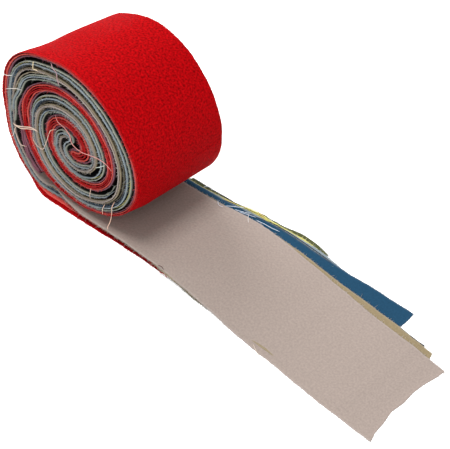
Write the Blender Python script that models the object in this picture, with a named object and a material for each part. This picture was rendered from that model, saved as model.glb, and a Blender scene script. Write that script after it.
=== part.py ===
"""A roll of narrow cotton fabric strips with its loose ends drawn out on the table.

The strips are stacked, folded double and wound together. The roll lies on its side
with its axis along Y, and the outer ends leave from beneath it along +X, the taupe
strip uppermost. Lengths in this file are millimetres until they reach the mesh.
"""
import math

import bmesh
import bpy
import numpy as np

# Driving dimensions, in millimetres
MM = 0.001
STRIP_WIDTH = 63.5
SHEET_THICKNESS = 1.0
SHEET_GAP = 0.3
SLOT_WIDTH = 1.5
ROLL_END_X = 14.0
CENTRE_X = 2.0
CENTRE_Z = 49.0
STATION_STEP = 7.5

# How the far end of the roll lies off the near end, and how much smaller it is: angle, taper
FAR_SHIFT_X = 2.7
FAR_SHIFT_Z = -0.8
FAR_TAPER = (
    (0, 1.9), (40, 1.7), (70, 2.2), (95, 3.6), (120, 6.4), (140, 7.8), (160, 6.6), (185, 3.6),
    (215, 0.8), (260, 0.0), (300, 0.6), (330, 1.6), (360, 1.9),
)
TAPER_RADIUS = 57.0
TOP_DIP = 1.2
DIP_PLACE = 0.32
DIP_SPREAD = 0.22

# Outer face of the wound stack: wound angle in degrees, radius in millimetres
WINDING = (
    (-300, 5.6), (-270, 4.2), (-230, 3.2), (-180, 3.6), (-130, 6.4), (-90, 9.5), (-45, 12.6),
    (-20, 15.4), (0, 16.6), (22, 16.9), (86, 17.4), (130, 18.5), (192, 21.2), (238, 24.7),
    (272, 26.8), (311, 30.0), (358, 34.6), (390, 34.8), (413, 35.8), (453, 36.8), (488, 38.0),
    (509, 39.6), (525, 40.8), (538, 41.4), (564, 42.5), (589, 44.3), (606, 43.2), (627, 41.4),
    (648, 42.1), (665, 43.8), (677, 45.6), (692, 48.8), (703, 50.6), (713, 52.3), (724, 53.6),
    (765, 53.8), (785, 54.6), (807, 55.6), (825, 54.9), (833, 55.2), (844, 56.9), (857, 57.9),
    (870, 57.4), (883, 55.8), (896, 55.0), (906, 54.5), (917, 55.5), (928, 57.9), (936, 57.4),
    (943, 57.8),
)
CORE_START = -300
BAND_START = 60
BAND_END = 943

# Run from the roll's left side on to the table: outer face x and z, then inner face x and z
RUN_OUT = (
    (-37.0, 6.0, -29.6, 12.6),
    (-33.0, 3.0, -26.6, 9.4),
    (-29.0, 0.9, -23.6, 7.7),
    (-25.0, 0.0, -20.0, 7.4),
    (-19.0, 0.0, -15.0, 7.6),
    (-12.0, 0.0, -10.0, 7.2),
    (-4.0, 0.0, -4.0, 6.4),
    (5.0, 0.0, 5.0, 6.2),
    (ROLL_END_X, 0.0, ROLL_END_X, 6.2),
)

# Edge of the stack across its thickness: share from the outer face, depth back from the edge
EDGE_PROFILE = (
    (0.00, 0.5),
    (0.05, 0.0),
    (0.26, 0.0),
    (0.29, 1.0),
    (0.36, 1.0),
    (0.39, 0.2),
    (0.93, 0.2),
    (1.00, 0.7),
)
# Depth of the edge profile: wound angle in degrees, factor
EDGE_DEPTH = ((60, 0.0), (110, 1.0), (200, 2.2), (900, 2.2), (943, 1.0))
BETWEEN_EDGES = (-0.5, 0.0, 0.5)

# Loose strips from the table up: name, level, colour, (x, y of the middle), (place across, end x)
STRIPS = (
    ("strip_red", 0, (0.60, 0.02, 0.03),
     ((14, -1.6), (45, -1.9), (76, -1.6), (110, -1.4), (150, -2.0)),
     ((-1, 150), (1, 148))),
    ("strip_pale", 1, (0.45, 0.52, 0.48),
     ((14, -0.6), (45, 1.2), (75, 5.2), (105, 8.6), (125, 8.6), (150, 6.6), (172, 4.0)),
     ((-1, 172), (1, 168))),
    ("strip_blue", 2, (0.05, 0.14, 0.27),
     ((14, -0.8), (45, 0.6), (75, 4.0), (100, 5.6), (120, 5.6), (140, 6.8), (165, 8.8),
      (190, 9.4)),
     ((-1, 191), (0.66, 191), (0.95, 189), (1, 186.5))),
    ("strip_khaki", 3, (0.50, 0.38, 0.20),
     ((14, -1.8), (60, -1.6), (90, -0.9), (130, -1.9), (160, -2.6), (190, -3.6), (217, -5.0)),
     ((-1, 217), (0.6, 218), (0.86, 216), (1, 215))),
    ("strip_taupe", 4, (0.49, 0.40, 0.34),
     ((14, -3.2), (30, -2.8), (60, -1.5), (90, -0.9), (130, -4.8), (180, -9.2), (232, -11.3)),
     ((-1, 235.0), (-0.88, 233.5), (-0.54, 230.4), (-0.28, 228.6), (-0.06, 229.5),
      (0.2, 228.2), (0.5, 226.8), (0.78, 229.0), (1, 229.2))),
)
STRIP_STEP = 6.0
ACROSS = 8
DROP_START = 0.8
DROP_LENGTH = 9.0
EDGE_WAVER = 0.35

ROLL_COLOUR = (0.60, 0.02, 0.03)


def new_material(name, colour):
    """A plain cloth material in one colour."""
    material = bpy.data.materials.new(name)
    material.use_nodes = True
    shader = material.node_tree.nodes["Principled BSDF"]
    shader.inputs["Base Color"].default_value = (*colour, 1.0)
    shader.inputs["Roughness"].default_value = 0.9
    return material


def add_object(name, bm, colour):
    """Turns a bmesh in millimetres into a named object in metres."""
    bmesh.ops.scale(bm, vec=(MM, MM, MM), verts=bm.verts)
    bmesh.ops.recalc_face_normals(bm, faces=bm.faces)
    mesh = bpy.data.meshes.new(name)
    bm.to_mesh(mesh)
    bm.free()
    mesh.shade_smooth()
    mesh.set_sharp_from_angle(angle=math.radians(35))
    mesh.materials.append(new_material(name, colour))
    item = bpy.data.objects.new(name, mesh)
    bpy.context.scene.collection.objects.link(item)
    return item


def table_curve(table, places):
    """Values of a two-column table at the given places, its corners eased."""
    rows = np.array(table, dtype=float)
    fine = np.linspace(rows[0, 0], rows[-1, 0], 40 * len(rows))
    values = np.interp(fine, rows[:, 0], rows[:, 1])
    span = max(3, len(fine) // (3 * len(rows)) * 2 + 1)
    kernel = np.hanning(span + 2)[1:-1]
    kernel /= kernel.sum()
    padded = np.concatenate((
        2 * values[0] - values[span // 2:0:-1],
        values,
        2 * values[-1] - values[-2:-2 - span // 2:-1],
    ))
    return np.interp(places, fine, np.convolve(padded, kernel, "valid"))


def outer_radius(angle):
    """Radius of the stack's outer face at a wound angle."""
    return table_curve(WINDING, angle)


def wound_point(angle, radius):
    """Point on the roll's near end from a wound angle and a radius."""
    turn = np.radians(angle)
    return np.stack((CENTRE_X + radius * np.cos(turn), CENTRE_Z + radius * np.sin(turn)), -1)


def settle(point, along):
    """Moves a point of the near end to its place along the roll, from -1 near to 1 far."""
    x, z = point
    share = 0.5 * (along + 1.0)
    raised = share * min(1.0, max(0.0, z - 8.0) / 20.0)
    from_x = x - CENTRE_X
    from_z = z - CENTRE_Z
    angle = math.degrees(math.atan2(from_z, from_x)) % 360.0
    top = max(0.0, from_z / TAPER_RADIUS)
    dip = TOP_DIP * top * math.exp(-((share - DIP_PLACE) / DIP_SPREAD) ** 2)
    shrink = 1.0 - (raised * np.interp(angle, *np.array(FAR_TAPER).T) + dip) / TAPER_RADIUS
    new_x = CENTRE_X + from_x * shrink + FAR_SHIFT_X * raised
    new_z = CENTRE_Z + from_z * shrink + FAR_SHIFT_Z * raised
    return new_x, new_z


def placed(bm, point, along, inset=0.0):
    """Adds the vertex of a near-end point at a place along the roll."""
    x, z = settle(point, along)
    half = 0.5 * STRIP_WIDTH - inset
    return bm.verts.new((x, half * along, z))


def make_roll():
    """The wound stack as one solid: a fat curled core, then a band swept along its winding."""
    bm = bmesh.new()
    count = int(round((BAND_END - BAND_START) / STATION_STEP)) + 1
    angles = np.linspace(BAND_START, BAND_END, count)
    outer = wound_point(angles, outer_radius(angles))
    inner = wound_point(angles, outer_radius(angles - 360.0) + SLOT_WIDTH)
    run = np.array(RUN_OUT)
    outer = np.concatenate((outer, run[:, 0:2]))
    inner = np.concatenate((inner, run[:, 2:4]))
    depths = np.interp(angles, *np.array(EDGE_DEPTH).T)
    depths = np.concatenate((depths, np.ones(len(run))))

    # Closed ring of vertices at each station of the band
    rings = []
    for start, end, depth in zip(outer, inner, depths):
        near = [(share, depth * inset) for share, inset in EDGE_PROFILE]
        ring = [placed(bm, start + (end - start) * share, -1.0, inset) for share, inset in near]
        ring += [placed(bm, end, along) for along in BETWEEN_EDGES]
        ring += [placed(bm, start + (end - start) * share, 1.0, inset) for share, inset in near[::-1]]
        ring += [placed(bm, start, along) for along in BETWEEN_EDGES[::-1]]
        rings.append(ring)
    size = len(rings[0])
    for first, second in zip(rings, rings[1:]):
        for k in range(size):
            bm.faces.new((first[k], first[(k + 1) % size], second[(k + 1) % size], second[k]))
    bm.faces.new(rings[-1])

    # Core: its outer wall from the curled tip to the first ring, and a cap at each end
    edge = len(EDGE_PROFILE)
    first = rings[0]
    near_side = first[:edge]
    far_side = first[edge + 3:2 * edge + 3][::-1]
    outer_column = [near_side[0], *first[2 * edge + 3:][::-1], far_side[0]]
    inner_column = [near_side[-1], *first[edge:edge + 3], far_side[-1]]
    steps = int(round((BAND_START - CORE_START) / STATION_STEP))
    core_angles = np.linspace(CORE_START, BAND_START, steps + 1)[:-1]
    core_points = wound_point(core_angles, outer_radius(core_angles))
    places = (-1.0, *BETWEEN_EDGES, 1.0)
    columns = [[placed(bm, point, along) for along in places] for point in core_points]
    wall = [inner_column, *columns, outer_column]
    for one, two in zip(wall, wall[1:]):
        for k in range(len(places) - 1):
            bm.faces.new((one[k], one[k + 1], two[k + 1], two[k]))
    bm.faces.new([column[0] for column in columns] + near_side)
    bm.faces.new([column[-1] for column in columns] + far_side)
    bmesh.ops.triangulate(bm, faces=[face for face in bm.faces if len(face.verts) > 4])
    return add_object("roll", bm, ROLL_COLOUR)


def eased(value):
    """Smooth step from 0 to 1."""
    value = np.clip(value, 0.0, 1.0)
    return value * value * (3.0 - 2.0 * value)


def underside(x, level):
    """Height of a strip's underside: it steps down past the end of each strip beneath it."""
    pitch = SHEET_THICKNESS + SHEET_GAP
    height = np.zeros_like(x)
    for _, below, _, _, ends in STRIPS:
        if below < level:
            last = max(end for _, end in ends)
            height += pitch * (1.0 - eased((x - last - DROP_START) / DROP_LENGTH))
    return height


def make_strip(name, level, colour, middle, ends):
    """One loose strip: a sheet that follows its middle line out to its cut end."""
    start = ROLL_END_X + SHEET_GAP
    across = np.linspace(-1.0, 1.0, ACROSS + 1)
    end_x = np.interp(across, *np.array(ends, dtype=float).T)
    count = int(round((end_x.max() - start) / STRIP_STEP)) + 1
    s = np.linspace(0.0, 1.0, count)[:, None]
    x = start + s * (end_x - start)[None, :]
    y = table_curve(middle, x) + 0.5 * STRIP_WIDTH * across[None, :]
    y += EDGE_WAVER * across[None, :] * np.sin(0.13 * x + 2.1 * level)
    low = underside(x, level)
    bm = bmesh.new()
    grids = []
    for lift in (0.0, SHEET_THICKNESS):
        z = low + lift
        grids.append([
            [bm.verts.new((x[i, j], y[i, j], z[i, j])) for j in range(ACROSS + 1)]
            for i in range(count)
        ])
    under, over = grids
    for i in range(count - 1):
        for j in range(ACROSS):
            bm.faces.new((over[i][j], over[i + 1][j], over[i + 1][j + 1], over[i][j + 1]))
            bm.faces.new((under[i][j], under[i][j + 1], under[i + 1][j + 1], under[i + 1][j]))
        for j in (0, ACROSS):
            bm.faces.new((under[i][j], under[i + 1][j], over[i + 1][j], over[i][j]))
    for i in (0, count - 1):
        for j in range(ACROSS):
            bm.faces.new((under[i][j], over[i][j], over[i][j + 1], under[i][j + 1]))
    return add_object(name, bm, colour)


for item in list(bpy.data.objects):
    bpy.data.objects.remove(item, do_unlink=True)

make_roll()
for row in STRIPS:
    make_strip(*row)
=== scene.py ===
# %% [markdown]
# A roll of cotton fabric strips, dressed for its photograph.
#
# A quilter's jelly roll is a stack of narrow strips, folded double and wound up together.
# The solids of the part give one wound body and five loose ends. This scene puts the single
# layers of cloth over them: each strip is one long sheet that starts in the curled core, goes
# round with its neighbours, and runs out on to the table.

import math

import bpy
import numpy as np
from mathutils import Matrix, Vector


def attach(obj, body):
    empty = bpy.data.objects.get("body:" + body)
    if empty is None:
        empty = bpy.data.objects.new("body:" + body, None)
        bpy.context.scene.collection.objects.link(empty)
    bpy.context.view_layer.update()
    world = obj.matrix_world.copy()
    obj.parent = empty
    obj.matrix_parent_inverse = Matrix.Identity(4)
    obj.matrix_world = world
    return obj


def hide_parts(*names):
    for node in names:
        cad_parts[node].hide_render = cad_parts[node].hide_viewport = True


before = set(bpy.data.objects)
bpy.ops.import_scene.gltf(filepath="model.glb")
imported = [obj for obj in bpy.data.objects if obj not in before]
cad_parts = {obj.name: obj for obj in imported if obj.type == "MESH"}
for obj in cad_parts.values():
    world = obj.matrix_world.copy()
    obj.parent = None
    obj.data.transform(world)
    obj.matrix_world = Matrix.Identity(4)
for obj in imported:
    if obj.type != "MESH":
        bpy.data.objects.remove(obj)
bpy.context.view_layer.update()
MM = 0.001
print("solids of the part:", sorted(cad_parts))

# %% [markdown]
# The winding of a roll is easiest to hold as a table of angle against radius. The angle runs on
# past a full turn, so one row of numbers describes the whole spiral. Between the rows the value
# is interpolated and then eased, because a wound cloth has no corners.

# %% Winding of the stack
STRIP_WIDTH = 63.5
CENTRE = np.array((2.0, 49.0))
SLOT = 1.5

# Outer face of the wound stack: wound angle in degrees, radius in millimetres
WINDING = (
    (-300, 5.6), (-270, 4.2), (-230, 3.2), (-180, 3.6), (-130, 6.4), (-90, 9.5), (-45, 12.6),
    (-20, 15.4), (0, 16.6), (22, 16.9), (86, 17.4), (130, 18.5), (192, 21.2), (238, 24.7),
    (272, 26.8), (311, 30.0), (358, 34.6), (390, 34.8), (413, 35.8), (453, 36.8), (488, 38.0),
    (509, 39.6), (525, 40.8), (538, 41.4), (564, 42.5), (589, 44.3), (606, 43.2), (627, 41.4),
    (648, 42.1), (665, 43.8), (677, 45.6), (692, 48.8), (703, 50.6), (713, 52.3), (724, 53.6),
    (765, 53.8), (785, 54.6), (807, 55.6), (825, 54.9), (833, 55.2), (844, 56.9), (857, 57.9),
    (870, 57.4), (883, 55.8), (896, 55.0), (906, 54.5), (917, 55.5), (928, 57.9), (936, 57.4),
    (943, 57.8),
)

# Where the layers lie below that face, in millimetres: wound angle, inner side of the red pack,
# start of the pale pack, the taupe strip, the last mirrored layer
LAYOUT = (
    (-90, 7.4, 7.4, 7.4, 7.4), (-68, 8.4, 8.4, 8.4, 8.4), (-45, 9.4, 9.6, 9.6, 9.6),
    (-20, 10.6, 10.8, 10.8, 10.8), (0, 10.4, 10.6, 10.8, 11.0), (22, 10.2, 10.4, 11.4, 11.8),
    (40, 9.8, 10.2, 12.4, 12.8), (68, 9.0, 9.8, 13.4, 13.8), (102, 8.0, 9.4, 14.0, 14.6),
    (135, 8.2, 9.2, 14.0, 15.0), (180, 7.6, 8.6, 13.4, 15.0), (209, 7.2, 8.5, 12.2, 14.8),
    (240, 6.6, 7.9, 11.4, 15.0), (270, 6.2, 7.2, 11.8, 15.4), (311, 6.0, 7.2, 13.2, 15.8),
    (360, 6.0, 7.4, 14.9, 16.2), (450, 5.4, 6.6, 15.0, 17.4), (495, 6.4, 7.8, 14.0, 17.8),
    (540, 8.8, 10.8, 13.0, 19.0), (585, 7.0, 8.2, 10.2, 18.6), (630, 2.1, 3.4, 5.0, 12.6),
    (675, 2.0, 3.2, 8.6, 12.8), (720, 3.6, 5.2, 15.4, 16.8), (765, 3.6, 5.2, 15.0, 16.8),
    (810, 4.2, 5.9, 14.0, 17.0), (855, 4.0, 5.6, 10.2, 15.5), (870, 3.9, 5.2, 9.4, 14.0),
    (900, 3.5, 5.4, 8.2, 11.0), (918, 3.1, 3.9, 6.2, 8.0), (930, 2.6, 3.2, 6.4, 8.6),
    (943, 2.0, 2.5, 6.6, 9.2),
)
BAND_END = 943.0

# Run from the roll's left side on to the table: outer face x and z, then inner face x and z
RUN_OUT = np.array((
    (-37.0, 6.0, -29.6, 12.6), (-33.0, 3.0, -26.6, 9.4), (-29.0, 0.9, -23.6, 7.7),
    (-25.0, 0.0, -20.0, 7.4), (-19.0, 0.0, -15.0, 7.0), (-12.0, 0.0, -10.0, 6.6),
    (-4.0, 0.0, -4.0, 6.4), (5.0, 0.0, 5.0, 6.2), (14.0, 0.0, 14.0, 6.2),
))


def smooth(value):
    """Smooth step from 0 to 1: three times the square less twice the cube."""
    value = np.clip(value, 0.0, 1.0)
    return value * value * (3.0 - 2.0 * value)


def eased_curve(table, column, places):
    """One column of a table against its first one: straight between rows, then averaged."""
    rows = np.array(table, dtype=float)
    fine = np.linspace(rows[0, 0], rows[-1, 0], 40 * len(rows))
    values = np.interp(fine, rows[:, 0], rows[:, column])
    span = max(3, len(fine) // (3 * len(rows)) * 2 + 1)
    kernel = np.hanning(span + 2)[1:-1]
    kernel /= kernel.sum()
    half = span // 2
    padded = np.concatenate((
        2 * values[0] - values[half:0:-1], values, 2 * values[-1] - values[-2:-2 - half:-1],
    ))
    return np.interp(places, fine, np.convolve(padded, kernel, "valid"))


def wound(angle, depth):
    """Point of the near end: its angle, and its radius less a depth below the outer face."""
    turn = np.radians(angle)
    radius = eased_curve(WINDING, 1, angle) - depth
    return CENTRE + radius[:, None] * np.stack((np.cos(turn), np.sin(turn)), -1)


turns = (BAND_END - WINDING[0][0]) / 360
print(f"the stack is wound {turns:.1f} turns, out to {WINDING[-1][1]} mm")

# %% [markdown]
# The far end of a hand-wound roll is never the same as the near end. Here it is a little smaller
# and sits a little to one side, and the top sags between the two. One function moves every point
# of the near end along the roll, so all layers share the same unevenness and keep their order.

# %% Unevenness along the roll
FAR_SHIFT = np.array((2.7, -0.8))
FAR_TAPER = (
    (0, 2.2), (40, 1.2), (70, 1.2), (95, 2.6), (120, 5.6), (140, 7.4), (160, 6.6), (185, 3.6),
    (215, 0.8), (260, 0.0), (300, -0.6), (325, -0.2), (345, 1.2), (360, 2.2),
)
TAPER_RADIUS = 57.0


def settled(x, z, share):
    """Shrinks a point towards the roll's centre by its taper times how far along it is."""
    from_x = x - CENTRE[0]
    from_z = z - CENTRE[1]
    raised = share * smooth((z - 1.0) / 17.0)
    angle = np.degrees(np.arctan2(from_z, from_x)) % 360.0
    sag = 1.7 * np.clip(from_z / TAPER_RADIUS, 0, None) * np.exp(-((share - 0.30) / 0.18) ** 2)
    taper = np.interp(angle, *np.array(FAR_TAPER, dtype=float).T)
    bulge = 2.4 * smooth(share / 0.22) * np.exp(-((angle - 318.0) / 30.0) ** 2)
    bulge = bulge * smooth((np.hypot(from_x, from_z) - 36.0) / 8.0) * smooth((z - 6.0) / 5.0)
    shrink = 1.0 - (raised * taper + sag - bulge) / TAPER_RADIUS
    return (
        CENTRE[0] + from_x * shrink + FAR_SHIFT[0] * raised,
        CENTRE[1] + from_z * shrink + FAR_SHIFT[1] * raised,
    )


print("far end smaller by up to", max(row[1] for row in FAR_TAPER), "mm")

# %% [markdown]
# The strips themselves go in one table, from the floor up as they lie in the loose end. Each has
# its pack, its place in the pack, where its outer and mirrored halves start in the core, where
# the mirrored half ends, how far its loose end reaches, and its colour.

# %% The strips
# name, pack, rank, start of the outer half, mirrored half from and to, loose end x, node, colour
STRIPS = (
    ("red", "red", 0, -84, (-84, 618), 150, "strip_red", (0.275, 0.0008, 0.0020)),
    ("coral", "red", 1, -88, (-88, 607), 122, "strip_red", (0.480, 0.062, 0.050)),
    ("rose", "red", 2, -92, (-92, 596), 134, "strip_red", (0.180, 0.072, 0.096)),
    ("sage", "pale", 0, 200, (338, 708), 168, "strip_pale", (0.184, 0.202, 0.162)),
    ("moss", "loose", 0, 0, (0, 0), 127, "strip_pale", (0.055, 0.060, 0.022)),
    ("butter", "pale", 1, 172, (430, 690), 135, "strip_pale", (0.420, 0.390, 0.110)),
    ("sky", "pale", 2, 200, (330, 700), 150, "strip_pale", (0.156, 0.192, 0.214)),
    ("blue", "pale", 3, 352, (446, 684), 191, "strip_blue", (0.0095, 0.042, 0.082)),
    ("navy", "pale", 4, 370, (448, 676), 209, "strip_blue", (0.0050, 0.0080, 0.018)),
    ("olive", "pale", 5, 392, (444, 668), 206, "strip_khaki", (0.070, 0.058, 0.026)),
    ("khaki", "pale", 6, 128, (318, 690), 217, "strip_khaki", (0.196, 0.154, 0.090)),
    ("taupe", "pale", 7, 112, (296, 700), 233, "strip_taupe", (0.246, 0.202, 0.178)),
)
LIFT = 0.40
FIRST_LIFT = 0.25
PALE_LAYERS = 8
RED_LAYERS = 3

# Middle of each loose end: x, y
MIDDLES = {
    "red": ((14, -5.0), (30, -4.8), (50, -3.5), (70, -1.8), (80, 0.0), (110, -1.0), (150, -2.4)),
    "coral": ((14, -2.8), (30, -2.3), (50, -1.6), (70, -0.4), (80, 0.2), (122, -0.6)),
    "rose": ((14, -0.6), (60, 0.8), (134, 1.4)),
    "sage": ((14, 1.8), (35, 3.4), (50, 4.2), (60, 4.7), (70, 6.8), (80, 9.2), (90, 9.0),
             (100, 8.6), (110, 8.8), (120, 9.0), (135, 7.6), (168, 5.0)),
    # Moss from x 28 to about 60 is a dark sheet standing in for the shadow line under the back edge
    "moss": ((28, 4.2), (50, 4.8), (60, 5.2), (70, 6.9), (80, 8.4), (90, 8.6), (98, 9.6),
             (104, 11.4), (112, 12.2), (120, 11.8), (127, 9.8)),
    "butter": ((14, 1.2), (35, 1.6), (50, 2.6), (60, 3.8), (70, 6.0), (80, 7.8), (90, 7.8),
               (100, 8.0), (110, 9.2), (120, 8.6), (135, 6.0)),
    "sky": ((14, 0.8), (35, 1.0), (50, 1.8), (60, 2.6), (70, 3.8), (80, 4.6), (90, 6.0),
            (100, 7.2), (110, 7.7), (120, 8.2), (130, 7.7), (150, 6.0)),
    "blue": ((14, 0.4), (35, 0.6), (50, 0.7), (60, 1.3), (70, 2.4), (80, 2.9), (90, 5.0),
             (100, 5.6), (110, 5.5), (120, 5.4), (130, 5.8), (140, 6.4), (165, 8.4), (191, 9.4)),
    "navy": ((14, -3.2), (35, -3.2), (60, -2.2), (90, -1.4), (110, -1.3), (130, -2.2),
             (170, -2.6), (209, -4.2)),
    "olive": ((14, -4.0), (40, -4.0), (60, -3.0), (90, -2.0), (130, -3.0), (206, -5.0)),
    "khaki": ((14, -4.4), (40, -4.2), (60, -3.0), (90, -1.8), (110, -1.9), (130, -2.6), (160, -3.0),
              (190, -4.0), (217, -5.6)),
    "taupe": ((14, -4.3), (33, -4.5), (50, -4.0), (60, -3.2), (70, -2.3), (80, -1.5), (90, -1.7),
              (100, -2.2), (110, -2.9), (120, -3.8), (130, -4.6), (180, -8.2), (233, -10.6)),
}

# Half the width of every loose end: drawn in a little where it leaves the roll
HALF_WIDTHS = (
    (-25, 31.75), (14, 29.4), (33, 28.7), (50, 29.1), (60, 29.7), (70, 30.3), (80, 31.0),
    (90, 31.5), (100, 31.75), (240, 31.75),
)

# Cut ends that aren't square: place across from -1 to 1, millimetres past the loose end's x
CUTS = {
    "taupe": ((-1, 0.8), (-0.93, 0.9), (-0.88, -0.8), (-0.6, -2.0), (-0.42, -3.6), (-0.28, -4.8),
              (-0.22, -3.9), (-0.06, -3.8), (0.06, -4.8), (0.2, -5.2), (0.34, -6.0), (0.46, -6.2),
              (0.56, -5.2), (0.7, -4.4), (0.86, -3.9), (1, -4.0)),
    "khaki": ((-1, 0.0), (0.6, 1.4), (0.86, 1.2), (0.93, 0.2), (1, -1.0)),
    "blue": ((-1, 0.5), (0.62, 0.4), (0.86, 0.0), (0.95, -0.6), (1, -1.4)),
}
REDS = ("red", "coral", "rose")
print(len(STRIPS), "strips, red on the floor and", STRIPS[-1][0], "on top")

# %% [markdown]
# Loose cloth lies on whatever is beneath it. The height of a strip at a point is the number of
# strips under that point times the lift of one layer, with a soft slope at each edge and each
# cut end, so an upper strip drapes down where a lower one stops.

# %% Height of the loose ends
NAMES = [row[0] for row in STRIPS]
WOUND = [row[0] for row in STRIPS if row[1] != "loose"]
END_X = {row[0]: float(row[5]) for row in STRIPS}


def middle_line(name, x):
    """The y of a loose end's middle at x."""
    return eased_curve(MIDDLES[name], 1, x)


def half_width(x):
    """Half the width of a loose end at x."""
    return eased_curve(HALF_WIDTHS, 1, x)


def lying_height(name, x, y):
    """Lift of one layer for each strip beneath, fading out past its end and a little past its
    edges, later where the stack is still stiff near the roll; the near corner, beyond a
    slanting line, has nothing under it and sinks."""
    height = np.full(np.broadcast(x, y).shape, FIRST_LIFT)
    for lower in NAMES[:NAMES.index(name)]:
        aside = y - middle_line(lower, x)
        limp = smooth((x - 72.0) / 26.0)
        stiff = np.where(aside > 0, 3.6 - 2.0 * limp, 7.5 - 7.5 * limp)
        aside = np.abs(aside) - half_width(x) - stiff
        slope = 5.0 if END_X[lower] > 195 else 14.0
        past = x - END_X[lower]
        reached = (x > 26.0) if lower == "moss" else 1.0
        height += LIFT * reached * smooth(1.0 - aside / 3.0) * smooth(1.0 - past / slope)
    corner = 0.456 * (x - 185.0) - 0.890 * (y + 41.0)
    return FIRST_LIFT + (height - FIRST_LIFT) * (1.0 - 0.85 * smooth(corner / 9.0))


def cut_offset(name, across):
    """How far the cut end lies past its x at each place across the strip."""
    if name not in CUTS:
        return np.zeros_like(across)
    return np.interp(across, *np.array(CUTS[name], dtype=float).T)


print("loose ends reach", sorted(END_X.values()))

# %% [markdown]
# In the wound part a strip is a line in the plane of the roll's end: its outer half comes in from
# the table, turns in the core, and its mirrored half goes out again on the other side of the
# pack. The red pack folds round its own tip. Two of the pale strips make the small S that shows
# in the middle of the end, so their turn in the core is a short table of points.

# %% Lines of the strips in the plane of the end
S_CORE = {
    "sage": ((-10.0, 39.5), (-10.2, 43.5), (-9.4, 47.5), (-7.4, 50.8), (-4.0, 53.2), (0.0, 54.1),
             (3.2, 53.0), (4.9, 50.6), (4.5, 48.4), (2.0, 46.4), (-0.6, 44.0), (-1.9, 41.3),
             (-1.7, 38.4), (0.4, 36.0), (4.2, 34.6), (8.2, 35.4), (12.2, 37.2), (16.4, 39.8)),
    "sky": ((-8.6, 39.0), (-8.8, 43.0), (-7.9, 46.8), (-5.8, 49.7), (-2.4, 51.9), (0.4, 52.3),
            (2.2, 51.4), (2.9, 49.8), (2.4, 48.5), (0.4, 47.2), (-2.0, 44.9), (-3.4, 41.6),
            (-3.2, 37.8), (-1.0, 34.8), (4.0, 33.2), (8.6, 34.0), (12.8, 35.8), (16.8, 38.2)),
}
FIT_TO_TABLE = 3.0

# Short folded lengths that fill the upper left of the outer turn
SHORT_FOLDS = {
    "sage": (
        ((-3.4, 87.2), (-8, 87.4), (-14, 85.2), (-20, 82.2), (-25, 79.8), (-30.4, 76.2),
         (-35, 71.2), (-37.9, 66.2), (-39, 62), (-41, 57.4), (-43.8, 52.4), (-45.4, 47), (-45.8, 41)),
        ((-3.6, 84.8), (-9, 84.0), (-15, 81.4), (-20.4, 78.8), (-26, 76.0), (-31, 72.4),
         (-34.4, 68.2), (-35.8, 64), (-36.8, 60), (-39.2, 56), (-41.8, 52.6), (-42.8, 48.6),
         (-42.6, 44), (-43, 39.4), (-43.8, 35.4)),
    ),
    "sky": (
        ((-6, 86.4), (-12, 84.8), (-18, 82.0), (-24, 79.0), (-29.6, 75.6), (-33.8, 71.2),
         (-36.6, 66.4), (-37.8, 62.2), (-39.4, 58.2), (-42.2, 54.2), (-44.4, 49.4), (-44.6, 43)),
    ),
    "rose": (
        ((-39.4, 33), (-40.6, 29), (-39.2, 26), (-40.6, 22.6), (-38.2, 19.4), (-38.8, 15.6),
         (-35.8, 12), (-34.8, 8.4), (-30.8, 6.2), (-27, 5.2)),
        ((-38.2, 31.4), (-39.0, 27.4), (-37.6, 24), (-38.2, 20.6), (-35.8, 17), (-36.2, 13.4),
         (-33.4, 10), (-31, 8.0), (-27.4, 6.8)),
    ),
    "khaki": (
        ((-12, 87.0), (-18, 84.8), (-24, 82.0), (-30, 78.2), (-35.4, 73.2), (-39, 67.6),
         (-41.2, 62), (-43.6, 56.6), (-45.6, 51)),
    ),
    "navy": (
        ((-8, 85.6), (-14, 83.2), (-20, 80.6), (-25.6, 77.8), (-30.4, 74.2), (-34.2, 70),
         (-36.2, 65.8), (-37.2, 61.6), (-39, 57.4), (-41.6, 53.6), (-43.8, 48.8), (-43.8, 42)),
    ),
}


def layer_depth(pack, rank, angle, mirrored):
    """Depth of a layer below the stack's face, from the layout's packs shared out evenly."""
    red_in = eased_curve(LAYOUT, 1, angle)
    pale_out = eased_curve(LAYOUT, 2, angle)
    taupe = eased_curve(LAYOUT, 3, angle)
    last = eased_curve(LAYOUT, 4, angle)
    if pack == "red":
        doubled = 1.0 - smooth((angle - 596.0) / 40.0)
        place = (RED_LAYERS - 1 - rank + 0.5) if mirrored else (RED_LAYERS + rank + 0.5)
        both = place / (2 * RED_LAYERS)
        alone = (rank + 0.35) / RED_LAYERS
        loose = 0.55 * np.exp(-((angle - 545.0) / 42.0) ** 2)
        wave = loose * np.sin(np.radians(11.0 * angle) + 1.9 * place)
        swell = (1.0 if mirrored and rank == 2 else 0.0) * 2.2 * smooth((angle - 515.0) / 35.0)
        return red_in * (both * doubled + alone * (1.0 - doubled)) + wave - swell
    if mirrored:
        step = (PALE_LAYERS - rank - 0.4) / PALE_LAYERS
        return taupe + (last - taupe) * step
    return pale_out + (taupe - pale_out) * rank / (PALE_LAYERS - 1)


def layer_gap(pack, angle, mirrored):
    """Room for one layer: the pack's depth over its number of layers."""
    red_in = eased_curve(LAYOUT, 1, angle)
    pale_out = eased_curve(LAYOUT, 2, angle)
    taupe = eased_curve(LAYOUT, 3, angle)
    last = eased_curve(LAYOUT, 4, angle)
    if pack == "red":
        doubled = 1.0 - smooth((angle - 596.0) / 40.0)
        return red_in / (RED_LAYERS * (1.0 + doubled))
    if mirrored:
        return (last - taupe) / PALE_LAYERS
    return (taupe - pale_out) / (PALE_LAYERS - 1)


ANGLE_STEP = 3.0


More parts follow.
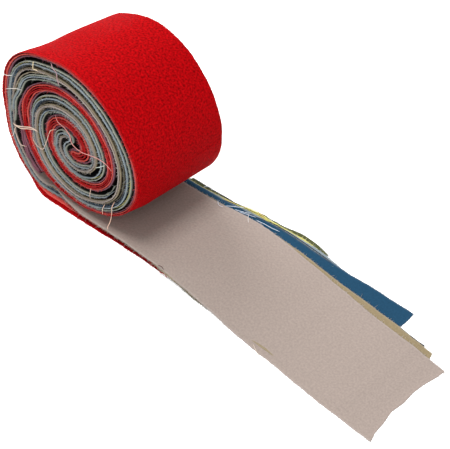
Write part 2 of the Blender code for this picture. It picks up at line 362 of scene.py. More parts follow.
def outer_half(name, pack, rank, start):
    """Rows of x, z, room and 1 where it lies on the table, from the loose end inwards."""
    order = WOUND.index(name) if name in WOUND else 0
    # The moss starts on the table at x 28; its length up to about x 60 is a dark sheet standing in for shadow under
    # the back edge
    floor_x = np.arange(END_X[name], 28.0 if pack == "loose" else 14.0, -3.0)
    floor = np.stack((floor_x, lying_height(name, floor_x, middle_line(name, floor_x))), -1)
    if pack == "loose":
        return np.column_stack((floor, np.full(len(floor), LIFT), np.ones(len(floor))))
    angle = np.arange(BAND_END, start, -ANGLE_STEP)
    depth = layer_depth(pack, rank, angle, False)
    band = wound(angle, depth)
    thickness = np.hypot(*(RUN_OUT[:, 2:] - RUN_OUT[:, :2]).T)
    final = (FIRST_LIFT + LIFT * order) / thickness
    first = depth[0] / (thickness[0] + 1.4)
    share = first + (final - first) * smooth(np.arange(len(RUN_OUT)) / 5.0)
    run = RUN_OUT[:, :2] + (RUN_OUT[:, 2:] - RUN_OUT[:, :2]) * share[:, None]
    run = np.stack([np.interp(np.arange(0, 8.1, 0.25), np.arange(9), row) for row in run.T], -1)
    run[:, 1] += 4.2 * max(0, order - 6) / 4 * np.exp(-((run[:, 0] + 13.5) / 4.6) ** 2)
    points = np.concatenate((floor, run[::-1], band))
    room = np.concatenate((
        np.full(len(floor) + len(run), LIFT), layer_gap(pack, angle, False),
    ))
    lying = np.concatenate((np.ones(len(floor) + len(run)), np.zeros(len(band))))
    return np.column_stack((points, room, lying))


def mirrored_half(pack, rank, span):
    """The same rows for the half that goes back out, from the core to its cut end."""
    angle = np.arange(span[0], span[1], ANGLE_STEP)
    points = wound(angle, layer_depth(pack, rank, angle, True))
    return np.column_stack((points, layer_gap(pack, angle, True), np.zeros(len(angle))))


def by_hand(points, room):
    """Rows from points read off the roll's end, lifted to the table."""
    rows = np.array(points) + (0.0, FIT_TO_TABLE)
    return np.column_stack((rows, np.full(len(rows), room), np.zeros(len(rows))))


def strip_line(name, pack, rank, start, span):
    """Whole line of one strip: outer half, turn in the core where it has one, mirrored half."""
    outer = outer_half(name, pack, rank, start)
    if pack == "loose":
        return [outer]
    back = mirrored_half(pack, rank, span)
    if pack == "red":
        return [np.concatenate((outer, back))]
    if name in S_CORE:
        return [np.concatenate((outer, by_hand(S_CORE[name], 0.9), back))]
    return [outer, back]


def even_line(rows):
    """The same rows evenly spaced along the line, closer in the core, and eased."""
    step = np.hypot(*np.diff(rows[:, :2], axis=0).T)
    from_centre = np.hypot(*(rows[:, :2] - CENTRE).T)
    spacing = np.where(from_centre < 20.0, 0.9, 2.2)
    weight = np.concatenate(([0.0], np.cumsum(step / spacing[1:])))
    places = np.linspace(0.0, weight[-1], int(weight[-1]) + 1)
    line = np.stack([np.interp(places, weight, column) for column in rows.T], -1)
    for _ in range(4):
        line[1:-1] = 0.25 * line[:-2] + 0.5 * line[1:-1] + 0.25 * line[2:]
    return line


LINES = {}
for name, pack, rank, start, span, *_ in STRIPS:
    LINES[name] = [even_line(part) for part in strip_line(name, pack, rank, start, span)]
for name, parts in SHORT_FOLDS.items():
    LINES[name] += [even_line(by_hand(part, 0.95)) for part in parts]

# %% [markdown]
# A strip's surface is its line carried across the width of the strip. At each point of the line
# there is a closed ring: the upper side from edge to edge, then the under side back. Its
# thickness follows the room that the layer has, so squeezed layers are thin and loose ones are
# fuller. The raw edges waver, and each strip lies a little in or out of the roll's end.

# %% Surface of a strip
ACROSS = np.array((-1.0, -0.985, -0.95, -0.8, -0.55, -0.28, 0.0, 0.28, 0.55, 0.8, 0.95, 0.985, 1.0))
EDGE_SHAPE = np.array((0.25, 0.8, 1.0, 1.0, 1.0, 1.0, 1.0, 1.0, 1.0, 1.0, 1.0, 0.8, 0.25))
THICKEST = 0.8

# How far each strip stands in towards the near end, in millimetres
LEAN = {
    "red": -0.3, "coral": 0.2, "rose": 0.7, "sage": -0.3, "butter": 1.1, "sky": -0.5, "blue": 0.9,
    "navy": 1.6, "olive": 1.4, "khaki": 0.1, "taupe": -0.2, "moss": 0.0,
}


def waver(along, size, seed):
    """Sum of a few sines along the strip, each with its own length and phase."""
    local = np.random.default_rng(seed)
    total = np.zeros_like(along)
    for wave in (61.0, 23.0, 9.0, 4.1):
        total += math.sqrt(wave / 61.0) * np.sin(2 * np.pi * (along / wave + local.random()))
    return size * 0.5 * total


def strip_grid(name, rows, seed):
    """Points of the ring at each place along the line, the UV of each in metres, and the painted shade of each point.
    """
    line, room = rows[:, :2], rows[:, 2]
    lying = (rows[:, 3:] > 0.5) * 1.0
    step = np.hypot(*np.diff(line, axis=0).T)
    along = np.concatenate(([0.0], np.cumsum(step)))
    tangent = np.gradient(line, axis=0)
    tangent /= np.hypot(*tangent.T)[:, None]
    normal = np.stack((-tangent[:, 1], tangent[:, 0]), -1)
    half_thick = 0.5 * np.clip(0.72 * room, 0.12, THICKEST)
    share = 0.5 * (ACROSS + 1.0)
    x = np.repeat(line[:, :1], len(ACROSS), 1)
    z = np.repeat(line[:, 1:], len(ACROSS), 1)
    tail = smooth((x - 14.0) / 6.0) * lying
    far = x > END_X[name] - 30.0
    ramp = smooth((x - (END_X[name] - 30.0)) / 30.0) * far * tail
    x = x + cut_offset(name, ACROSS)[None, :] * ramp
    edge = np.where(ACROSS < 0, waver(along, 0.34, seed)[:, None], waver(along, 0.34, seed + 1)[:, None])
    lean = LEAN[name] * (1.0 - tail)
    half = np.where(lying > 0.5, half_width(x), 0.5 * STRIP_WIDTH)
    y = half * ACROSS[None, :] + edge * np.abs(ACROSS)[None, :] ** 3 + lean
    y = y + tail * middle_line(name, x)
    drift = smooth((x + 37.0) / 24.0) if name in REDS else smooth((x + 20.0) / 34.0)
    y = y + (1.0 - tail) * lying * middle_line(name, np.array(14.0)) * drift
    low = lying_height(name, x, y)
    z = z * (1.0 - tail) + low * tail
    x, z = settled(x, z, share[None, :])
    ripple = 0.14 * np.sin(0.17 * x + 0.08 * y) * np.sin(0.05 * x - 0.11 * y) * tail
    offset = half_thick[:, None] * EDGE_SHAPE[None, :]
    sides = []
    for sign in (1.0, -1.0):
        px = x + sign * offset * normal[:, :1]
        pz = z + sign * offset * normal[:, 1:] + ripple
        sides.append(np.stack((px, y, pz), -1))
    ring = np.concatenate((sides[0], sides[1][:, ::-1]), 1)
    across = np.concatenate((ACROSS, ACROSS[::-1])) * 0.5 * STRIP_WIDTH
    uv = np.stack(np.broadcast_arrays(along[:, None], across[None, :]), -1)
    return ring, uv, painted_shade_of_sides(name, line, normal, rows[:, 3])


def painted_shade_of_sides(name, line, normal, lying):
    """Painted shade of each point: 1 where a strip's side is pressed against its neighbours and the material darkens
    it as shade, 0 where it is open to the air.
    """
    from_centre = line - CENTRE
    radius = np.hypot(*from_centre.T)
    outward = np.sum(from_centre * normal, 1) > 0
    open_side = (radius > 40.6) & (lying < 0.5) & (name == "red")
    shown = name in ("red", "coral", "taupe")
    # Painted shade also on the lying layers under the roll up to x 10, fading by x 14, but not on the red, coral and
    # taupe strips
    shade_in_roll = 1.0 - lying * (1.0 if shown else smooth((line[:, 0] - 10.0) / 4.0))
    sides = [np.where(open_side & (outward == first), 0.0, shade_in_roll) for first in (True, False)]
    count = len(ACROSS)
    return np.concatenate([np.repeat(side[:, None], count, 1) for side in sides], 1)


def ring_faces(rows, columns, first):
    """Quads between neighbouring rings, closed round each ring."""
    i = np.arange(rows - 1)[:, None] * columns + first
    j = np.arange(columns)[None, :]
    k = (j + 1) % columns
    return np.stack((i + j, i + columns + j, i + columns + k, i + k), -1).reshape(-1, 4)


def end_faces(columns, first, turned):
    """Quads that close the first or the last ring, from its upper to its under side."""
    half = columns // 2
    a = np.arange(half - 1)
    quad = np.stack((a, a + 1, columns - 2 - a, columns - 1 - a), -1) + first
    return quad[:, ::-1] if turned else quad


def fill_mesh(mesh, points, faces, uv=None):
    """Puts whole arrays of points, quads and UVs into a mesh."""
    mesh.vertices.add(len(points))
    mesh.vertices.foreach_set("co", (points * MM).astype(np.float32).ravel())
    mesh.loops.add(faces.size)
    mesh.loops.foreach_set("vertex_index", faces.astype(np.int32).ravel())
    mesh.polygons.add(len(faces))
    mesh.polygons.foreach_set("loop_start", np.arange(0, faces.size, faces.shape[1], dtype=np.int32))
    if uv is not None:
        layer = mesh.uv_layers.new(name="cloth")
        layer.data.foreach_set("uv", (uv[faces.ravel()] * MM).astype(np.float32).ravel())
    mesh.update(calc_edges=True)
    mesh.validate()
    mesh.shade_smooth()


def link(name, mesh):
    """A new object at the origin that holds the mesh."""
    item = bpy.data.objects.new(name, mesh)
    bpy.context.scene.collection.objects.link(item)
    return item


rings = {}


def strip_object(name):
    """All parts of one strip in one mesh."""
    points, faces, uvs, painted_shades = [], [], [], []
    rings[name] = []
    first = 0
    for number, rows_of in enumerate(LINES[name]):
        ring, uv, painted_shade = strip_grid(name, rows_of, 100 * NAMES.index(name) + 10 * number)
        rows, columns = ring.shape[:2]
        faces.append(ring_faces(rows, columns, first))
        faces.append(end_faces(columns, first, True))
        faces.append(end_faces(columns, first + (rows - 1) * columns, False))
        rings[name].append(ring)
        points.append(ring.reshape(-1, 3))
        uvs.append(uv.reshape(-1, 2))
        painted_shades.append(painted_shade.ravel())
        first += rows * columns
    mesh = bpy.data.meshes.new("cloth_" + name)
    fill_mesh(mesh, np.concatenate(points), np.concatenate(faces), np.concatenate(uvs))
    # Painted shade: a point attribute that the cotton reads to darken sides pressed between layers
    layer = mesh.attributes.new("painted_shade", "FLOAT", "POINT")
    layer.data.foreach_set("value", np.concatenate(painted_shades).astype(np.float32))
    return link("cloth_" + name, mesh)


cloths = {name: strip_object(name) for name in NAMES}
print("quads in the strips:", sum(len(item.data.polygons) for item in cloths.values()))

# %% [markdown]
# Plain woven cotton has threads over and under each other, a third of a millimetre apart. A node
# group makes that weave from the strip's UV map in metres: two sine waves, one for each set of
# threads, take turns on top. It gives a height for a bump, and a slub mottle for the colour.

# %% Weave of plain cotton
def weave_group():
    """Node group: height of a plain weave from a UV and a thread pitch, and a slub mottle."""
    group = bpy.data.node_groups.new("plain weave", "ShaderNodeTree")
    group.interface.new_socket("UV", in_out="INPUT", socket_type="NodeSocketVector")
    pitch = group.interface.new_socket("Threads per metre", in_out="INPUT", socket_type="NodeSocketFloat")
    pitch.default_value = 2600.0
    group.interface.new_socket("Height", in_out="OUTPUT", socket_type="NodeSocketFloat")
    group.interface.new_socket("Shade", in_out="OUTPUT", socket_type="NodeSocketFloat")
    nodes, links = group.nodes, group.links
    source = nodes.new("NodeGroupInput")
    result = nodes.new("NodeGroupOutput")
    split = nodes.new("ShaderNodeSeparateXYZ")
    links.new(source.outputs["UV"], split.inputs[0])

    def math_node(operation, first, second=None):
        node = nodes.new("ShaderNodeMath")
        node.operation = operation
        for socket, value in zip(node.inputs, (first, second)):
            if isinstance(value, (int, float)):
                socket.default_value = value
            elif value is not None:
                links.new(value, socket)
        return node.outputs[0]

    waves = []
    for axis in ("X", "Y"):
        turned = math_node("MULTIPLY", math_node("MULTIPLY", split.outputs[axis], source.outputs[1]), math.pi)
        waves.append(math_node("SINE", turned))
    over = math_node("MULTIPLY", waves[0], waves[1])
    ridges = math_node("ADD", math_node("ABSOLUTE", waves[0]), math_node("ABSOLUTE", waves[1]))
    height = math_node("ADD", math_node("MULTIPLY", over, 0.35), math_node("MULTIPLY", ridges, 0.5))
    slub = nodes.new("ShaderNodeTexNoise")
    slub.inputs["Scale"].default_value = 800.0
    slub.inputs["Detail"].default_value = 2.0
    links.new(source.outputs["UV"], slub.inputs["Vector"])
    links.new(math_node("ADD", math_node("MULTIPLY", slub.outputs[0], 2.4), -0.2), result.inputs["Shade"])
    links.new(math_node("ADD", height, math_node("MULTIPLY", slub.outputs[0], 1.8)), result.inputs["Height"])
    return group


weave = weave_group()
print("weave sockets:", [item.name for item in weave.interface.items_tree])

# %% [markdown]
# Each strip has its own cotton. The colour is dyed evenly, a little mottled by the slub of the
# thread. The raw edge gets a paler tone, a painted highlight for the cut threads that stand out of
# it and catch the light. Away from the raw edge, sides pressed between layers are darkened almost
# to black: painted shade between the wound layers.

# %% Cotton of each strip
def cotton(name, colour, edge_highlight_amount):
    """Material: dyed colour times the slub, a paler tone near the raw edges as a painted highlight, and painted shade
    on sides pressed between layers.
    """
    material = bpy.data.materials.new("cotton_" + name)
    material.use_nodes = True
    nodes, links = material.node_tree.nodes, material.node_tree.links
    shader = nodes["Principled BSDF"]
    shader.inputs["Roughness"].default_value = 0.8
    shader.inputs["Specular IOR Level"].default_value = 0.02 if name in REDS else 0.05
    uv = nodes.new("ShaderNodeUVMap")
    uv.uv_map = "cloth"
    threads = nodes.new("ShaderNodeGroup")
    threads.node_tree = weave
    threads.inputs["Threads per metre"].default_value = 2600.0
    links.new(uv.outputs[0], threads.inputs["UV"])
    split = nodes.new("ShaderNodeSeparateXYZ")
    links.new(uv.outputs[0], split.inputs[0])
    side = nodes.new("ShaderNodeMath")
    side.operation = "ABSOLUTE"
    links.new(split.outputs["Y"], side.inputs[0])
    # Painted highlight: a paler tone on the last millimetre of the raw edge, where cut threads catch the light
    edge = nodes.new("ShaderNodeMapRange")
    edge.inputs["From Min"].default_value = 0.5 * STRIP_WIDTH * MM - 0.0011
    edge.inputs["From Max"].default_value = 0.5 * STRIP_WIDTH * MM - 0.0002
    edge.inputs["To Max"].default_value = edge_highlight_amount
    links.new(side.outputs[0], edge.inputs["Value"])
    mottled = nodes.new("ShaderNodeMix")
    mottled.data_type = "RGBA"
    mottled.blend_type = "MULTIPLY"
    mottled.inputs["Factor"].default_value = 1.0 if name == "red" else 0.2
    mottled.inputs[6].default_value = (*colour, 1.0)
    links.new(threads.outputs["Shade"], mottled.inputs[7])
    edge_highlight = nodes.new("ShaderNodeMix")
    edge_highlight.data_type = "RGBA"
    pale = tuple(0.30 + 0.70 * channel for channel in colour)
    edge_highlight.inputs[7].default_value = (*pale, 1.0)
    links.new(edge.outputs[0], edge_highlight.inputs["Factor"])
    links.new(mottled.outputs[2], edge_highlight.inputs[6])
    # Painted shade: away from the raw edge, on sides marked as pressed between layers, the colour is darkened to 4 %
    shade_away_from_edge = nodes.new("ShaderNodeMapRange")
    shade_away_from_edge.interpolation_type = "SMOOTHSTEP"
    shade_away_from_edge.inputs["From Min"].default_value = 0.5 * STRIP_WIDTH * MM - 0.0002
    shade_away_from_edge.inputs["From Max"].default_value = 0.5 * STRIP_WIDTH * MM - 0.0016
    links.new(side.outputs[0], shade_away_from_edge.inputs["Value"])
    painted_shade = nodes.new("ShaderNodeAttribute")
    painted_shade.attribute_name = "painted_shade"
    painted_shade_amount = nodes.new("ShaderNodeMath")
    painted_shade_amount.operation = "MULTIPLY"
    links.new(shade_away_from_edge.outputs[0], painted_shade_amount.inputs[0])
    links.new(painted_shade.outputs["Fac"], painted_shade_amount.inputs[1])
    shaded = nodes.new("ShaderNodeMix")
    shaded.data_type = "RGBA"
    shaded.inputs[7].default_value = tuple(0.04 * channel for channel in colour) + (1.0,)
    links.new(painted_shade_amount.outputs[0], shaded.inputs["Factor"])
    links.new(edge_highlight.outputs[2], shaded.inputs[6])
    links.new(shaded.outputs[2], shader.inputs["Base Color"])
    bump = nodes.new("ShaderNodeBump")
    bump.inputs["Strength"].default_value = 1.0 if name == "red" else 0.35
    bump.inputs["Distance"].default_value = 0.00012
    links.new(threads.outputs["Height"], bump.inputs["Height"])
    links.new(bump.outputs[0], shader.inputs["Normal"])
    return material


COLOURS = {row[0]: row[7] for row in STRIPS}
NODE_OF = {row[0]: row[6] for row in STRIPS}
cottons = {
    # Painted highlight on the raw edges: faint on the reds, stronger on the other strips
    name: cotton(name, colour, 0.03 if name in REDS else 0.14) for name, colour in COLOURS.items()
}
for name, item in cloths.items():
    item.data.materials.append(cottons[name])
print("cottons:", sorted(cottons))

# %% [markdown]
# A raw edge frays: cut thread ends stand out of it by a millimetre or two. They are made as very
# thin three-sided spikes, all of one strip's in one mesh. Each spike starts on the strip's edge,
# at a random place, and leans a random way.

# %% Fray along the raw edges
def tube_mesh(paths, radii, sides, mesh):
    """Tubes round many paths of equal point count: a ring of sides in each point's own plane."""
    count, steps = paths.shape[:2]
    tangent = np.gradient(paths, axis=1)
    tangent /= np.linalg.norm(tangent, axis=2, keepdims=True) + 1e-9
    helper = np.where(np.abs(tangent[..., 2:]) < 0.9, (0.0, 0.0, 1.0), (1.0, 0.0, 0.0))
    one = np.cross(tangent, helper)
    one /= np.linalg.norm(one, axis=2, keepdims=True) + 1e-9
    two = np.cross(tangent, one)
    turn = 2 * np.pi * np.arange(sides) / sides
    ring = (
        np.cos(turn)[None, None, :, None] * one[:, :, None]
        + np.sin(turn)[None, None, :, None] * two[:, :, None]
    )
    points = paths[:, :, None] + ring * radii[:, :, None, None]
    tube = np.arange(count)[:, None, None] * steps * sides
    step = np.arange(steps - 1)[None, :, None] * sides
    j = np.arange(sides)[None, None, :]
    k = (j + 1) % sides
    base = tube + step
    faces = np.stack((base + j, base + k, base + sides + k, base + sides + j), -1).reshape(-1, 4)
    fill_mesh(mesh, points.reshape(-1, 3), faces)


def fray_object(name, density, longest):
    """Spikes along both raw edges of a strip, more of them where the edge shows."""
    local = np.random.default_rng(500 + NAMES.index(name))
    starts, outs = [], []
    for ring in rings[name]:
        half = ring.shape[1] // 2
        for column, side in ((0, -1.0), (half - 1, 1.0)):
            edge = 0.5 * (ring[:, column] + ring[:, -1 - column])
            amount = int(len(edge) * density * (1.0 if side < 0 else 0.7))
            place = local.random(amount) * (len(edge) - 1)
            low = place.astype(int)
            part = (place - low)[:, None]
            starts.append(edge[low] * (1 - part) + edge[low + 1] * part)
            outs.append(np.stack((
                local.normal(0, 0.55, amount), side * (0.5 + local.random(amount)),
                local.normal(0, 0.55, amount),
            ), -1))
        loose = 0.5 * (ring[0, :half] + ring[0, ::-1][:half])
        place = local.random(60) * (half - 1)
        low = place.astype(int)
        part = (place - low)[:, None]
        starts.append(loose[low] * (1 - part) + loose[low + 1] * part)
        outs.append(np.stack((
            0.5 + local.random(60), local.normal(0, 0.5, 60), local.normal(0, 0.3, 60),
        ), -1) * (1.0 if ring[0, 0, 0] > 60.0 else 0.2))
    start = np.concatenate(starts)
    out = np.concatenate(outs)
    out /= np.linalg.norm(out, axis=1, keepdims=True)
    length = longest * (0.25 + 0.75 * local.random(len(start)) ** 3)
    bend = local.normal(0, 0.45, (len(start), 3))
    t = np.array((0.0, 0.5, 1.0))[None, :, None]
    paths = start[:, None] + length[:, None, None] * (out[:, None] * t + bend[:, None] * t * t * 0.5)
    paths[..., 2] = np.maximum(paths[..., 2], 0.12)
    radii = np.full(paths.shape[:2], 0.085) * np.array((1.0, 0.85, 0.35))[None, :]
    mesh = bpy.data.meshes.new("fray_" + name)
    tube_mesh(paths, radii, 3, mesh)
    return link("fray_" + name, mesh)


frays = {name: fray_object(name, 2.6, 2.0) for name in NAMES}


def thread_finish(name, colour):
    """Material of loose thread: a plain matt colour."""
    material = bpy.data.materials.new("thread_" + name)
    material.use_nodes = True
    shader = material.node_tree.nodes["Principled BSDF"]
    shader.inputs["Base Color"].default_value = (*colour, 1.0)
    shader.inputs["Roughness"].default_value = 0.9
    shader.inputs["Specular IOR Level"].default_value = 0.15
    return material


for name, item in frays.items():
    # Paler fray colour: partly the thin fibres' own lighter tone, partly a painted highlight on the raw edges
    lift = 0.02 if name in REDS else 0.14
    paler = tuple(lift + (1.0 - lift) * channel for channel in COLOURS[name])
    item.data.materials.append(thread_finish("fray_" + name, paler))
print("spikes:", sum(len(item.data.polygons) // 6 for item in frays.values()))

# %% [markdown]
# A few long threads have come loose and lie across the end of the roll and along the loose ends.
# Each is a line of a few given points, drawn as an even curve and given a round section.

# %% Loose threads
END_Y = -32.6
# name, radius, colour, points in x and z on the roll's end
END_THREADS = (
    ("cream_a", 0.34, (0.56, 0.43, 0.34), ((-45, 33.2), (-42, 33.6), (-36, 35.6), (-30, 39), (-24, 41))),
    ("cream_b", 0.30, (0.56, 0.43, 0.34), ((-44, 32.6), (-38, 33.8), (-32, 36.6), (-25, 39.6), (-23, 40.4))),
    ("cream_c", 0.22, (0.56, 0.43, 0.34), ((-42, 33), (-43.4, 29), (-43, 25), (-41.4, 22), (-39, 21.2), (-35, 21.6))),
    ("cream_d", 0.24, (0.54, 0.38, 0.30), ((-28, 36), (-27.6, 31.6), (-25, 28), (-21, 28.6), (-18.6, 32), (-17, 37), (-14.6, 44), (-11, 49.4), (-8, 51))),
    ("pink", 0.24, (0.60, 0.27, 0.24), ((-8, 61.6), (-6, 58.8), (-1, 56.2), (3, 53.4), (5, 49.6), (8, 47), (12, 47), (18, 49.6), (24, 50.6), (30, 50.6), (36.4, 49.4))),
    ("straw", 0.24, (0.70, 0.58, 0.36), ((-23.2, 90.6), (-23.4, 87), (-24.2, 84.2), (-21.6, 85.4), (-19.6, 86))),
    ("pale", 0.20, (0.50, 0.46, 0.42), ((-49, 55.6), (-45, 58.6), (-40, 61), (-35, 63))),
    ("mauve", 0.24, (0.42, 0.26, 0.28), ((-8.6, 98), (-7, 95.6), (-5.4, 93), (-4.6, 89), (-2.6, 86))),
    ("mint", 0.18, (0.50, 0.56, 0.50), ((23, 43), (26, 45.6), (30, 48.8))),
    ("tan_a", 0.24, (0.62, 0.40, 0.30), ((37, 27), (35, 21), (34, 16), (32.6, 9), (31, 4), (30.4, 1))),
    ("tan_b", 0.20, (0.62, 0.44, 0.34), ((29, 20), (27.6, 15.6), (26.6, 10.6))),
    ("tan_c", 0.18, (0.62, 0.44, 0.34), ((18.4, 25), (17.6, 20), (16.8, 15.6))),
    ("grey_a", 0.20, (0.55, 0.52, 0.48), ((-50, 66), (-46, 67.4), (-42.6, 69))),
    ("grey_b", 0.18, (0.60, 0.52, 0.46), ((-48, 21), (-45, 24.6), (-44, 29))),
)


def even_curve(points, count):
    """Cubic curve through given points, as many even steps as asked for."""
    rows = np.array(points, dtype=float)
    step = np.linalg.norm(np.diff(rows, axis=0), axis=1)
    place = np.concatenate(([0.0], np.cumsum(step)))
    dense = np.linspace(0.0, place[-1], count)
    slope = np.gradient(rows, place, axis=0)
    i = np.clip(np.searchsorted(place, dense, "right") - 1, 0, len(step) - 1)
    h = step[i][:, None]
    t = ((dense - place[i]) / step[i])[:, None]
    return (
        (2 * t**3 - 3 * t**2 + 1) * rows[i] + (t**3 - 2 * t**2 + t) * h * slope[i]
        + (3 * t**2 - 2 * t**3) * rows[i + 1] + (t**3 - t**2) * h * slope[i + 1]
    )


def thread_object(name, radius, points, colour):
    """One thread: a tube round its curve, tapered at both ends."""
    path = even_curve(points, 40)[None]
    taper = np.minimum(1.0, 0.35 + 6.0 * np.minimum(np.linspace(0, 1, 40), np.linspace(1, 0, 40)))
    mesh = bpy.data.meshes.new("thread_" + name)
    tube_mesh(path, 0.82 * radius * taper[None, :], 6, mesh)
    item = link("thread_" + name, mesh)
    mesh.materials.append(thread_finish("loose_" + name, colour))
    return item


# name, radius, colour, points in x, y and z over the loose ends
EDGE_THREADS = (
    ("white_a", 0.16, (0.60, 0.66, 0.74), ((63, 26.6, 4.7), (66, 28.8, 4.9), (69.4, 32.0, 4.2), (71, 33.4, 4.0))),
    ("white_b", 0.16, (0.60, 0.66, 0.74), ((69, 28.0, 5.0), (72.6, 29.6, 4.8), (77, 32.2, 4.2))),
    ("white_c", 0.16, (0.56, 0.62, 0.72), ((72, 28.4, 4.9), (76, 30.2, 4.6), (81, 32.4, 4.1))),
    ("white_d", 0.18, (0.62, 0.68, 0.76), ((83, 30.4, 4.6), (88, 32.0, 3.9), (93, 32.6, 3.8), (98, 33.6, 3.8))),
    ("white_e", 0.16, (0.70, 0.70, 0.66), ((75, 37.2, 2.4), (79, 38.8, 2.8), (84, 38.4, 2.6), (90, 37.4, 2.2))),
    ("white_f", 0.16, (0.70, 0.70, 0.66), ((96, 38.8, 2.6), (99, 41.2, 2.6), (103.6, 42.6, 2.2))),
    ("white_g", 0.14, (0.66, 0.68, 0.68), ((97.6, 39.4, 2.4), (100.2, 42.4, 2.0), (102, 43.2, 1.6))),
    ("white_h", 0.16, (0.60, 0.66, 0.74), ((42, 30.4, 3.0), (45, 32.6, 3.2), (47.4, 31.6, 3.0))),
    ("white_i", 0.14, (0.60, 0.64, 0.70), ((60, 32.6, 2.6), (63, 35.0, 2.8), (65.6, 37.2, 2.4))),
    ("white_j", 0.15, (0.56, 0.60, 0.68), ((57, 26.4, 4.9), (60.6, 24.2, 5.1), (63.2, 24.8, 5.1))),
    ("white_k", 0.14, (0.62, 0.60, 0.58), ((77, 30.6, 4.8), (79.6, 27.6, 5.1), (81.8, 25.6, 5.1))),
    ("gold_a", 0.20, (0.62, 0.50, 0.14), ((56, 31.0, 2.9), (62, 32.4, 3.0), (70, 34.4, 3.0), (78, 35.6, 3.0), (86, 36.2, 2.9))),
    ("gold_b", 0.18, (0.56, 0.54, 0.16), ((62, 33.2, 2.8), (68, 33.4, 3.2), (74, 35.8, 3.2), (82, 36.8, 2.9), (92, 37.0, 2.8))),
    ("gold_c", 0.16, (0.50, 0.30, 0.12), ((68, 34.8, 2.8), (76, 37.0, 2.9), (84, 37.0, 2.9))),
    ("dark_a", 0.22, (0.010, 0.014, 0.030), ((33, 31.4, 2.4), (44, 32.2, 2.6), (54, 33.0, 2.8), (62, 33.8, 2.8))),
    ("dark_b", 0.20, (0.010, 0.014, 0.024), ((52, 32.4, 3.0), (64, 33.2, 3.2), (76, 35.2, 3.2), (88, 38.0, 2.4))),
    ("dark_c", 0.18, (0.012, 0.018, 0.034), ((58, 29.4, 4.2), (66, 31.6, 4.2), (74, 31.4, 4.2), (84, 33.8, 3.8), (96, 37.6, 3.2))),
    ("dark_d", 0.28, (0.006, 0.010, 0.024), ((88, 36.4, 2.6), (100, 37.3, 2.75), (110, 37.5, 2.75), (120, 37.4, 2.75), (134, 37.0, 2.7))),
    ("knot_a", 0.26, (0.300, 0.050, 0.040), ((71, -32.6, 2.6), (73, -33.6, 2.0), (75.4, -32.8, 2.4), (77.6, -33.4, 1.2))),
    ("knot_b", 0.22, (0.060, 0.020, 0.018), ((70, -32.4, 4.6), (72.4, -32.0, 5.0), (74.6, -32.6, 4.6))),
    ("front_a", 0.14, (0.62, 0.52, 0.42), ((146, -36.4, 2.0), (152, -39.0, 1.0), (158, -39.6, 0.6))),
    ("front_b", 0.14, (0.55, 0.50, 0.40), ((104, -34.6, 1.6), (110, -36.8, 0.8), (117, -36.6, 0.6))),
)

threads = []
for name, radius, colour, points in END_THREADS:
    rows = [(x, END_Y - 0.5 * math.sin(2.0 * k), z + FIT_TO_TABLE) for k, (x, z) in enumerate(points)]
    threads.append(thread_object(name, radius, rows, colour))
for name, radius, colour, points in EDGE_THREADS:
    threads.append(thread_object(name, radius, points, colour))
print("loose threads:", len(threads))

# %% [markdown]
# The pieces ride on the part's root, and the strips stand for the solids whose cloth they are,
# which are hidden.

# %% Hand the pieces to the frame
for name, item in cloths.items():
    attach(item, "root")
    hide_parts("roll", NODE_OF[name])
for name, item in frays.items():
    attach(item, "root")
for item in threads:
    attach(item, "root")
print("sheets declared:", len(cloths))

# %% [markdown]
# The setting is plain: a pale floor without an edge in view, one broad soft light above and
# behind the roll's left shoulder, a weaker one in front, and a bright even sky.

# %% Floor and light
def plain(name, colour, roughness):
    """Material in one colour."""
    material = bpy.data.materials.new(name)
    material.use_nodes = True
    shader = material.node_tree.nodes["Principled BSDF"]
    shader.inputs["Base Color"].default_value = (*colour, 1.0)
    shader.inputs["Roughness"].default_value = roughness
    shader.inputs["Specular IOR Level"].default_value = 0.1
    return material


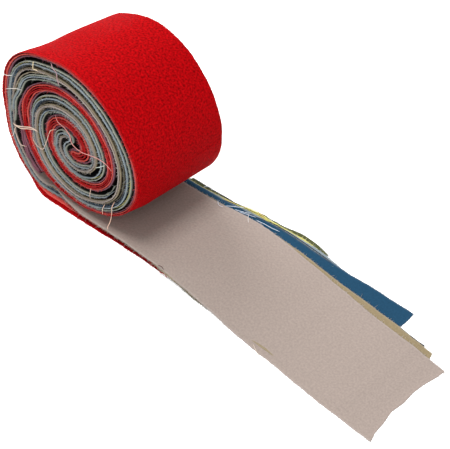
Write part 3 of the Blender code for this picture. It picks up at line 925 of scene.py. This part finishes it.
floor_mesh = bpy.data.meshes.new("floor")
reach = 4.0
floor_mesh.from_pydata(
    [(-reach, -reach, 0), (reach, -reach, 0), (reach, reach, 0), (-reach, reach, 0)], [], [(0, 1, 2, 3)]
)
white = plain("pale floor", (0.93, 0.93, 0.93), 0.9)
glow = white.node_tree.nodes["Principled BSDF"]
glow.inputs["Emission Color"].default_value = (1.0, 1.0, 1.0, 1.0)
glow.inputs["Emission Strength"].default_value = 0.35
floor_mesh.materials.append(white)
floor = link("floor", floor_mesh)

sky = bpy.data.worlds.new("sky")
sky.use_nodes = True
sky.node_tree.nodes["Background"].inputs["Color"].default_value = (1.0, 1.0, 1.0, 1.0)
sky.node_tree.nodes["Background"].inputs["Strength"].default_value = 0.78
bpy.context.scene.world = sky


def soft_light(name, place, target, size, power):
    """A square area light at a place, turned towards a target."""
    data = bpy.data.lights.new(name, "AREA")
    data.size = size
    data.energy = power
    lamp = bpy.data.objects.new(name, data)
    lamp.location = place
    lamp.rotation_mode = "QUATERNION"
    lamp.rotation_quaternion = (Vector(target) - Vector(place)).to_track_quat("-Z", "Y")
    bpy.context.scene.collection.objects.link(lamp)
    return lamp


soft_light("key", (0.03, -0.20, 1.15), (0.03, 0.0, 0.03), 0.40, 11.5)
soft_light("back left", (-0.95, 0.45, 0.75), (0.0, 0.0, 0.06), 0.6, 15.0)
soft_light("front", (0.60, -0.80, 0.80), (0.05, 0.0, 0.04), 0.9, 4.5)

# %% [markdown]
# The camera stands where the photograph's did: its place and its lens were fitted to the outlines
# of the roll and of the loose ends.

# %% Camera
CAMERA_PLACE = Vector((0.7418656, -0.6581871, 0.9145267))
CAMERA_AZIMUTH = math.radians(44.767)
CAMERA_ELEVATION = math.radians(43.783)
towards = -Vector((
    math.sin(CAMERA_AZIMUTH) * math.cos(CAMERA_ELEVATION),
    -math.cos(CAMERA_AZIMUTH) * math.cos(CAMERA_ELEVATION),
    math.sin(CAMERA_ELEVATION),
))
lens = bpy.data.cameras.new("camera")
lens.lens = 190.86
lens.sensor_width = 36.0
camera = bpy.data.objects.new("camera", lens)
camera.location = CAMERA_PLACE
camera.rotation_mode = "QUATERNION"
camera.rotation_quaternion = towards.to_track_quat("-Z", "Y")
bpy.context.scene.collection.objects.link(camera)
bpy.context.scene.camera = camera
bpy.context.scene.view_settings.view_transform = "Standard"
print("camera at", tuple(round(value, 3) for value in camera.location))
